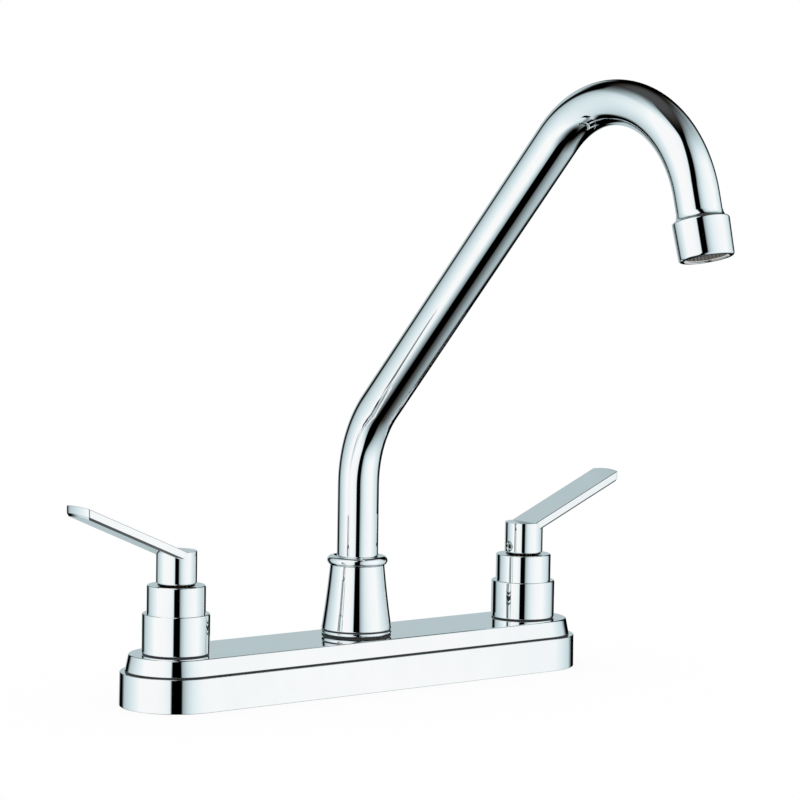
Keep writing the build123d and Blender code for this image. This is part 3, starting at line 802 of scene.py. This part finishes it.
def finish_piece(piece: bpy.types.Object, slot_name: str, body: str, *nodes: str,
                 finish: Finish | None = None) -> None:
    """Smooths a piece, dresses it and hangs it on the frame.

    Args:
        piece: the piece.
        slot_name: the record's slot that it takes its finish from.
        body: the body that it rides on.
        nodes: the CAD nodes that it stands for.
        finish: its finish, if it isn't the slot's.
    """
    mesh = piece.data
    truths = [Vector(corner.vector) for corner in mesh.attributes[TRUE_NORMAL].data]
    normals: list[Triple] = []
    for face in mesh.polygons:
        face.use_smooth = True
        for corner in face.loop_indices:
            truth = truths[corner]
            if truth.dot(face.normal) < 0.0:
                truth = -truth
            normals.append(tuple(truth.normalized()))
    mesh.normals_split_custom_set(normals)
    mesh.attributes.remove(mesh.attributes[TRUE_NORMAL])
    mesh.materials.append((finish or FINISHES[slot_name]).material())
    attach(piece, body)
    if nodes:
        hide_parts(*nodes)
    log.info("%s: %s on %s, %d faces", piece.name, slot_name, body, len(mesh.polygons))


# ---- the faucet's pieces ----


@dataclass
class DeckPlate:
    """The two tier plate that covers the holes in the sink. Millimetres and degrees."""

    foot: float = 25.0
    foot_edge: float = 0.3
    draft: float = 0.6
    ledge: float = 15.2
    ledge_radius: float = 0.35
    seal: float = 0.6
    seal_depth: float = 0.6
    seal_edge: float = 0.1
    tier_foot: float = 22.5
    tier_tuck: float = 0.06
    tier_foot_edge: float = 0.1
    tier_top: float = 21.0
    tier_top_edge: float = 0.8
    height: float = 23.1
    rim: float = 2.0
    inner_rim: float = 1.0
    wall: float = 2.0
    neck_hole: float = 11.3
    post_hole: float = 11.8

    def build(self) -> None:
        """Makes the plate and the thin black ring of painted shade in the joint between its tiers."""
        body_top = self.foot - self.ledge * math.tan(math.radians(self.draft))
        joint, groove = self.ledge + self.seal, self.tier_foot - self.seal_depth
        inner_foot, inner_top = self.foot - self.wall, self.tier_top - self.wall
        shelf, ceiling = self.ledge - self.wall, self.height - self.wall
        strokes = rounded([
            (inner_top - self.inner_rim, ceiling), (inner_top, ceiling), (inner_top, shelf),
            (inner_foot, shelf), (inner_foot, 0.0), (self.foot, 0.0, self.foot_edge),
            (body_top, self.ledge, self.ledge_radius), (groove, self.ledge), (groove, joint),
            (self.tier_foot - self.tier_tuck, joint, self.tier_foot_edge),
            (self.tier_top, self.height, self.tier_top_edge), (self.tier_top - self.rim, self.height)])
        piece = Skin().turn(strokes, slot(VALVE_X), closed=False).piece("polished_plate")
        for x, radius in ((-VALVE_X, self.neck_hole), (0.0, self.post_hole), (VALVE_X, self.neck_hole)):
            hole = rod(radius, ceiling - OVERCUT, self.height + OVERCUT, count=96)
            carve(piece, hole.move(Matrix.Translation((x, 0.0, 0.0))))
        finish_piece(piece, "chrome_plate", "base", "deck_plate")
        # Painted shade: a thin black rubber ring fills the groove at the upper tier's foot, for the dark line
        # of shade in that joint.
        seal = rounded([(across, up, self.seal_edge) for across, up in (
            (groove + SHADE_RING_PLAY, self.ledge + SHADE_RING_PLAY), (self.tier_foot, self.ledge + SHADE_RING_PLAY),
            (self.tier_foot, joint - SHADE_RING_PLAY), (groove + SHADE_RING_PLAY, joint - SHADE_RING_PLAY))], True, 3)
        finish_piece(Skin().turn(seal, slot(VALVE_X)).piece("tier_shade_ring"), "rubber", "base")


@dataclass
class Collar:
    """The stepped collar at the foot of a handle. Millimetres."""

    foot: float = 23.1
    foot_edge: float = 0.35
    step: float = 41.2
    top: float = 53.8
    radius: float = 15.15
    step_radius: float = 13.15
    edge: float = 0.6
    seal: float = 0.5
    seal_inset: float = 0.3
    seal_width: float = 1.7
    bore: float = 11.05
    bore_top: float = 48.3
    mouth: float = 8.4
    mouth_edge: float = 0.3

    def build(self, side: Side) -> None:
        """Makes one collar and the thin black ring of painted shade that it stands on.

        Args:
            side: which one.
        """
        low, shade_ring_radius = self.foot + self.seal, self.radius - self.seal_inset
        collar = turned([
            (self.bore, low), (self.radius, low, self.foot_edge), (self.radius, self.step, self.edge),
            (self.step_radius, self.step), (self.step_radius, self.top, self.edge),
            (self.mouth, self.top, self.mouth_edge), (self.mouth, self.bore_top), (self.bore, self.bore_top)])
        # Painted shade: a thin black rubber ring under the collar gives the dark line of shade at its foot.
        seal = thin_ring(shade_ring_radius - self.seal_width, shade_ring_radius, self.foot, low)
        finish_piece(collar.move(side.valve).piece(f"stepped_collar_{side.word}"), "chrome_plate", "base",
                     f"collar_{side.word}")
        finish_piece(seal.move(side.valve).piece(f"collar_seal_{side.word}"), "rubber", "base")


@dataclass
class Handle:
    """The round hub and the flat lever that rises outwards from it. Millimetres and degrees."""

    foot: float = 54.4
    top: float = 69.1
    radius: float = 9.1
    foot_edge: float = 0.9
    top_edge: float = 0.2
    half_width: float = 8.9
    thickness: float = 4.3
    slope: float = 23.2
    length: float = 52.3
    bulge: float = 1.5
    upper_edge: float = 0.5
    lower_bevel: Pair = (0.8, 1.15)
    bevel_edge: float = 0.12
    corner: float = 1.1
    corner_steps: int = 8
    tip_steps: int = 16
    tail: float = 1.0
    tail_steps: int = 4
    bore: float = 4.05
    bore_depth: float = 9.6
    screw_radius: float = 2.05
    screw_start: float = 1.0
    countersink: float = 0.55
    countersink_over: float = 0.2

    def lever(self) -> Skin:
        """Makes the lever as a level slab with rounded edges and shears it to its slope.

        Returns:
            The lever, drawn outwards along +X from the valve's axis.
        """
        tip_radius = (self.half_width ** 2 + self.bulge ** 2) / (2.0 * self.bulge)
        tip_centre = self.length + self.bulge - tip_radius
        corner_y = self.half_width - self.corner
        corner_x = tip_centre + math.sqrt((tip_radius - self.corner) ** 2 - corner_y ** 2)
        swing = math.degrees(math.atan2(corner_y, corner_x - tip_centre))
        tail_x = self.corner - self.tail
        outline = [
            *arc((corner_x, -corner_y), self.corner, -90.0, -swing, self.corner_steps),
            *arc((tip_centre, 0.0), tip_radius, -swing, swing, self.tip_steps)[1:-1],
            *arc((corner_x, corner_y), self.corner, swing, 90.0, self.corner_steps),
            *arc((tail_x, corner_y), self.corner, 90.0, 180.0, self.tail_steps),
            *arc((tail_x, -corner_y), self.corner, 180.0, 270.0, self.tail_steps)]
        slope = math.radians(self.slope)
        rise = self.thickness / math.cos(slope)
        bevel_in, bevel_up = self.lower_bevel
        inset = bevel_in + self.bevel_edge
        edge = rounded([(-inset, 0.0), (-bevel_in, 0.0, self.bevel_edge), (0.0, bevel_up, self.bevel_edge),
                        (0.0, rise, self.upper_edge), (-inset, rise)])
        skin = Skin().turn(edge, [(place.to_3d(), normal.to_3d()) for place, normal in outline], closed=False)
        shear = Matrix.Translation(UP * (self.top - rise))
        shear[2][0] = math.tan(slope)
        return skin.move(shear)

    def build(self, side: Side) -> None:
        """Makes one handle.

        Args:
            side: which one.
        """
        hub = turned([(0.0, self.foot), (self.radius, self.foot, self.foot_edge),
                      (self.radius, self.top, self.top_edge), (0.0, self.top)])
        piece = hub.move(side.valve).piece(f"lever_handle_{side.word}")
        carve(piece, self.lever().move(side.valve), "UNION")
        carve(piece, rod(self.bore, self.foot - OVERCUT, self.foot + self.bore_depth).move(side.valve))
        over, end = self.radius + self.countersink_over, self.radius + 2.0 * OVERCUT
        wide = self.screw_radius + self.countersink + self.countersink_over
        hole = turned([
            (0.0, self.screw_start), (self.screw_radius, self.screw_start),
            (self.screw_radius, self.radius - self.countersink), (wide, over), (wide, end), (0.0, end)],
            count=48)
        carve(piece, hole.move(side.screw))
        finish_piece(piece, "chrome_handle", side.handle_body, f"handle_{side.word}")


@dataclass
class SetScrew:
    """The small screw with a hex socket that holds a handle on its stem. Millimetres."""

    tip: float = 4.05
    end: float = 8.75
    radius: float = 2.0
    edge: float = 0.35
    socket_flats: float = 2.0
    socket_depth: float = 2.6

    def build(self, side: Side) -> None:
        """Makes one screw.

        Args:
            side: which one.
        """
        name = f"set_screw_{side.word}"
        inner = self.radius - self.edge
        body = turned([(0.0, self.tip), (inner, self.tip), (self.radius, self.tip + self.edge),
                       (self.radius, self.end - self.edge), (inner, self.end), (0.0, self.end)], count=72)
        piece = body.move(side.screw).piece(f"socket_{name}")
        carve(piece, self.socket().move(side.screw))
        slot_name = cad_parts[name].data.materials[0].name.split(".")[0]
        finish_piece(piece, slot_name, side.handle_body, name)

    def socket(self) -> Skin:
        """Makes the hexagon that cuts the socket.

        Returns:
            The hexagon, round the vertical axis.
        """
        skin = Skin()
        corner = self.socket_flats / math.sqrt(3.0)
        corners = [(bearing(math.radians(60.0 * index)) * corner).to_3d() for index in range(6)]
        low, high = (skin.ring([place + UP * height for place in corners])
                     for height in (self.end - self.socket_depth, self.end + OVERCUT))
        for index in range(6):
            skin.cap((low[index - 1], low[index], high[index], high[index - 1]),
                     bearing(math.radians(60.0 * index - 30.0)).to_3d())
        skin.cap(low, -UP)
        skin.cap(high, UP)
        return skin


@dataclass
class SpoutBase:
    """The thin flange and the flared cone with a rounded bead on top. Millimetres and degrees."""

    foot: float = 23.1
    flange_radius: float = 16.4
    flange_top: float = 25.4
    flange_bore: float = 11.8
    flange_edge: float = 0.35
    flange_underside: float = 1.45
    seal: float = 0.45
    seal_inset: float = 0.35
    seal_width: float = 2.0
    cone_seal_inset: float = 0.15
    cone_edge: float = 0.5
    cone_edge_steps: int = 8
    cone_edge_end: float = 7.0
    groove_radius: float = 15.3
    cone_foot: float = 26.0
    foot_radius: float = 16.2
    middle_radius: float = 14.15
    top_radius: float = 12.55
    flare_start: Pair = (-0.01, 0.06)
    flare_steps: int = 24
    cone_top: float = 55.7
    bead_middle: float = 11.9
    bead_radius: float = 2.1
    bead_steps: int = 32
    bead_top: float = 59.9
    bead_start: float = -88.0
    rim_drop: float = 0.6
    tube_bore: float = 9.575
    shoulder: float = 50.1
    recess: float = 10.8
    post_top: float = 46.1
    post_bore: float = 11.55

    def build(self) -> None:
        """Makes the flange and the cone, each on a thin black ring of painted shade."""
        low, reach = self.foot + self.seal, self.flange_radius - self.seal_inset
        flange = turned([
            (self.flange_bore, low), (self.flange_radius, low, self.flange_underside),
            (self.flange_radius, self.flange_top, self.flange_edge), (self.flange_bore, self.flange_top)])
        cone = Skin().turn(self.profile(), circle())
        # Painted shade: thin black rubber rings under the flange and in the groove at the cone's foot give
        # the dark lines of shade in these joints.
        flange_shade_ring = thin_ring(reach - self.seal_width, reach, self.foot, low)
        cone_shade_ring = thin_ring(self.groove_radius + SHADE_RING_PLAY, reach - self.cone_seal_inset, self.flange_top,
                              self.cone_foot)
        finish_piece(flange.piece("cone_flange"), "chrome_plate", "base", "spout_flange")
        finish_piece(cone.piece("flared_cone"), "chrome_plate", "base", "spout_cone")
        finish_piece(flange_shade_ring.piece("flange_shade_ring"), "rubber", "base")
        finish_piece(cone_shade_ring.piece("cone_shade_ring"), "rubber", "base")

    def profile(self) -> list[Stroke]:
        """Draws the cone's profile.

        Returns:
            Its lines and arcs.
        """
        edge_x, edge_z = self.foot_radius - self.cone_edge, self.cone_foot + self.cone_edge
        low = Vector((self.foot_radius + self.flare_start[0], edge_z + self.flare_start[1]))
        high = Vector((self.top_radius, self.cone_top))
        hollow = (low.x + high.x) / 2.0 - self.middle_radius
        flare: Stroke = []
        for step in range(self.flare_steps + 1):
            part = step / self.flare_steps
            place = low.lerp(high, part) - Vector((4.0 * hollow * part * (1.0 - part), 0.0))
            along = high - low - Vector((4.0 * hollow * (1.0 - 2.0 * part), 0.0))
            flare.append((place, Vector((along.y, -along.x)).normalized()))
        bead_centre = self.bead_top - self.bead_radius
        rim = self.bead_top - self.rim_drop
        lip = math.degrees(math.asin((rim - bead_centre) / self.bead_radius))
        bead = arc((self.bead_middle, bead_centre), self.bead_radius, self.bead_start, 180.0 - lip,
                   self.bead_steps)
        return [
            *rounded([(self.post_bore, self.flange_top), (self.groove_radius, self.flange_top),
                      (self.groove_radius, self.cone_foot), (edge_x, self.cone_foot)]),
            arc((edge_x, edge_z), self.cone_edge, -90.0, self.cone_edge_end, self.cone_edge_steps),
            flare,
            *rounded([(self.top_radius, self.cone_top), tuple(bead[0][0])]),
            bead,
            *rounded([
                tuple(bead[-1][0]), (self.tube_bore, rim), (self.tube_bore, self.shoulder),
                (self.recess, self.shoulder), (self.recess, self.post_top), (self.post_bore, self.post_top),
                (self.post_bore, self.flange_top)])]


@dataclass
class SpoutTube:
    """The bent tube: upright, lower bend, straight rise, arch and outlet. Millimetres and degrees."""

    radius: float = 9.525
    wall: float = 1.0
    foot: float = 48.65
    bend_height: float = 114.6
    lean: float = 44.0
    lower_radius: float = 54.0
    rise: float = 171.3
    arch_radius: float = 50.4
    outlet_tilt: float = 15.0
    outlet: float = 14.2
    around: int = 96
    steps: tuple[int, ...] = (8, 36, 16, 96, 4)

    @staticmethod
    def axes(heading: float) -> tuple[Vector, Vector]:
        """Finds the directions along the tube and to the inside of its bends, from its lean in degrees."""
        turn = math.radians(heading)
        return Vector((0.0, -math.sin(turn), math.cos(turn))), Vector((0.0, -math.cos(turn), -math.sin(turn)))

    def path(self) -> list[tuple[Vector, float]]:
        """Walks along the tube's middle line.

        Returns:
            Points and the heading at each, in degrees.
        """
        tangent = self.lower_radius * math.tan(math.radians(self.lean / 2.0))
        stretches = (
            (self.bend_height - tangent - self.foot, 0.0), (self.lower_radius, self.lean), (self.rise, 0.0),
            (self.arch_radius, 180.0 - self.outlet_tilt - self.lean), (self.outlet, 0.0))
        made = [(UP * self.foot, 0.0)]
        for (length, bend), steps in zip(stretches, self.steps):
            start, first = made[-1]
            ahead, inside = self.axes(first)
            for step in range(1, steps + 1):
                if bend:
                    swept = math.radians(bend * step / steps)
                    inward = inside * length * (1.0 - math.cos(swept))
                    place = start + inward + ahead * length * math.sin(swept)
                else:
                    place = start + ahead * length * step / steps
                made.append((place, first + bend * step / steps))
        return made

    def build(self) -> None:
        """Makes the tube."""
        skin, path = Skin(), self.path()
        middle = [(place, Vector((1.0, 0.0, 0.0)), self.axes(heading)[1]) for place, heading in path]
        outer = skin.sweep(middle, self.radius, self.around)
        inner = skin.sweep(middle, self.radius - self.wall, self.around, -1.0)
        for end, sign in ((0, -1.0), (-1, 1.0)):
            ahead, _ = self.axes(path[end][1])
            facing = [ahead * sign] * self.around
            skin.band(outer[end], inner[end], facing, facing)
        finish_piece(skin.piece("bent_spout"), "chrome_tube", "spout", "spout_tube")


@dataclass
class Aerator:
    """The shoulder on the tube's end, the housing and the woven screen in its mouth.

    Millimetres and degrees. It is drawn upside down, so +Z is the way that the water leaves.
    """

    place: Triple = (0.0, -221.7, 221.7)
    tilt: float = 15.0
    tube_bore: float = 9.575
    shoulder_top: float = 9.65
    shoulder_height: float = 2.8
    shoulder_bend: Pair = (9.95, -0.35)
    shoulder_radius: float = 11.0
    shoulder_steps: int = 12
    thread_radius: float = 10.8
    thread_length: float = 8.0
    seat_radius: float = 8.4
    socket: float = 4.0
    housing_radius: float = 11.9
    housing_foot: float = 11.5
    housing_height: float = 16.3
    housing_bore: float = 10.85
    top_edge: float = 0.9
    foot_edge: float = 1.1
    mouth: float = 9.3
    mouth_edge: float = 0.3
    insert_bore: float = 10.15
    screen_seat: float = 15.5
    screen_radius: float = 8.4
    screen_thickness: float = 0.6
    screen_edge: float = 0.1
    screen_rim: float = 0.7
    wire: float = 0.3
    wire_pitch: float = 1.05
    wire_sides: int = 6
    wire_steps: float = 8.0

    def build(self) -> None:
        """Makes the shoulder, the housing and the screen."""
        top, bend = Vector((self.shoulder_top, -self.shoulder_height)), Vector(self.shoulder_bend)
        low = Vector((self.shoulder_radius, 0.0))
        flare: Stroke = []
        for step in range(self.shoulder_steps + 1):
            part = step / self.shoulder_steps
            along = (bend - top).lerp(low - bend, part)
            place = top.lerp(bend, part).lerp(bend.lerp(low, part), part)
            flare.append((place, Vector((along.y, -along.x)).normalized()))
        shoulder = [
            *rounded([(self.tube_bore, -self.shoulder_height), tuple(top)]),
            flare,
            *rounded([tuple(low), (self.thread_radius, 0.0), (self.thread_radius, self.thread_length),
                      (self.seat_radius, self.thread_length), (self.seat_radius, self.socket),
                      (self.tube_bore, self.socket), (self.tube_bore, -self.shoulder_height)])]
        housing = turned([
            (self.housing_bore, 0.0), (self.housing_radius, 0.0, self.top_edge),
            (self.housing_foot, self.housing_height, self.foot_edge),
            (self.mouth, self.housing_height, self.mouth_edge), (self.mouth, self.screen_seat),
            (self.insert_bore, self.screen_seat), (self.insert_bore, self.thread_length),
            (self.housing_bore, self.thread_length)])
        turn = math.radians(self.tilt)
        across, down = Vector((1.0, 0.0, 0.0)), Vector((0.0, -math.sin(turn), -math.cos(turn)))
        tilted = Matrix((across, down.cross(across), down)).transposed().to_4x4()
        axis = Matrix.Translation(self.place) @ tilted
        finish_piece(Skin().turn(shoulder, circle()).move(axis).piece("outlet_shoulder"), "chrome_tube",
                     "spout", "outlet_adapter")
        finish_piece(housing.move(axis).piece("outlet_housing"), "chrome_tube", "spout", "aerator_housing")
        # The screen's wire is darkened for painted shade inside the mouth.
        finish_piece(self.screen().move(axis).piece("woven_screen"), "steel", "spout", "aerator_screen",
                     finish=SHADED_WIRE)

    def screen(self) -> Skin:
        """Weaves the screen and puts a rim round it.

        Returns:
            The screen.
        """
        half, radius = self.screen_thickness / 2.0, self.screen_radius
        middle = self.screen_seat - half
        inner, low, high = radius - self.screen_rim, middle - half, middle + half
        skin = turned([(across, up, self.screen_edge) for across, up in (
            (inner, low), (radius, low), (radius, high), (inner, high))], count=72, steps=2)
        reach = radius - self.screen_rim / 2.0
        rows = int(reach / self.wire_pitch)
        for crossed in (False, True):
            for row in range(-rows, rows + 1):
                self.weave(skin, crossed, row, math.sqrt(reach ** 2 - (row * self.wire_pitch) ** 2), middle)
        return skin

    def weave(self, skin: Skin, crossed: bool, row: int, half: float, middle: float) -> None:
        """Adds one wire.

        Args:
            skin: the screen so far.
            crossed: whether it runs across the first set of wires.
            row: its number from the middle.
            half: half its length.
            middle: the height of the screen's middle.
        """
        offset, radius = row * self.wire_pitch, self.wire / 2.0
        count = max(4, round(self.wire_steps * half / self.wire_pitch))
        phase = math.pi * (row + crossed)
        path = []
        for step in range(count + 1):
            along = -half + 2.0 * half * step / count
            wave = math.pi * along / self.wire_pitch + phase
            ahead = Vector((1.0, 0.0, -math.sin(wave) * math.pi / self.wire_pitch * radius)).normalized()
            path.append((Vector((along, offset, middle + radius * math.cos(wave))), Vector((0.0, 1.0, 0.0)),
                         Vector((-ahead.z, 0.0, ahead.x))))
        way = Vector((1.0, 0.0, 0.0))
        if crossed:
            path, way = [[vector.yxz for vector in point] for point in path], way.yxz
        rings = skin.sweep(path, radius, self.wire_sides)
        skin.cap(rings[0], -way)
        skin.cap(rings[-1], way)


def dress(node: str) -> None:
    """Gives a CAD node its own finish, or else its slot's.

    Args:
        node: the node's name.
    """
    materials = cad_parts[node].data.materials
    finish = OWN_FINISHES.get(node, FINISHES[materials[0].name.split(".")[0]])
    materials.clear()
    materials.append(finish.material())
    log.info("%s: %s", node, finish.name)


def main() -> None:
    """Builds the faucet's looks, piece by piece."""
    logging.basicConfig(level=logging.INFO, format="%(message)s")
    bpy.context.scene.view_settings.view_transform = "Standard"
    Camera().build()
    Studio().build()
    LightTent().build()
    DeckPlate().build()
    for side in Side:
        Collar().build(side)
        Handle().build(side)
        SetScrew().build(side)
    SpoutBase().build()
    SpoutTube().build()
    Aerator().build()
    for name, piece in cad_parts.items():
        if not piece.hide_render:
            dress(name)


if __name__ == "__main__":
    main()
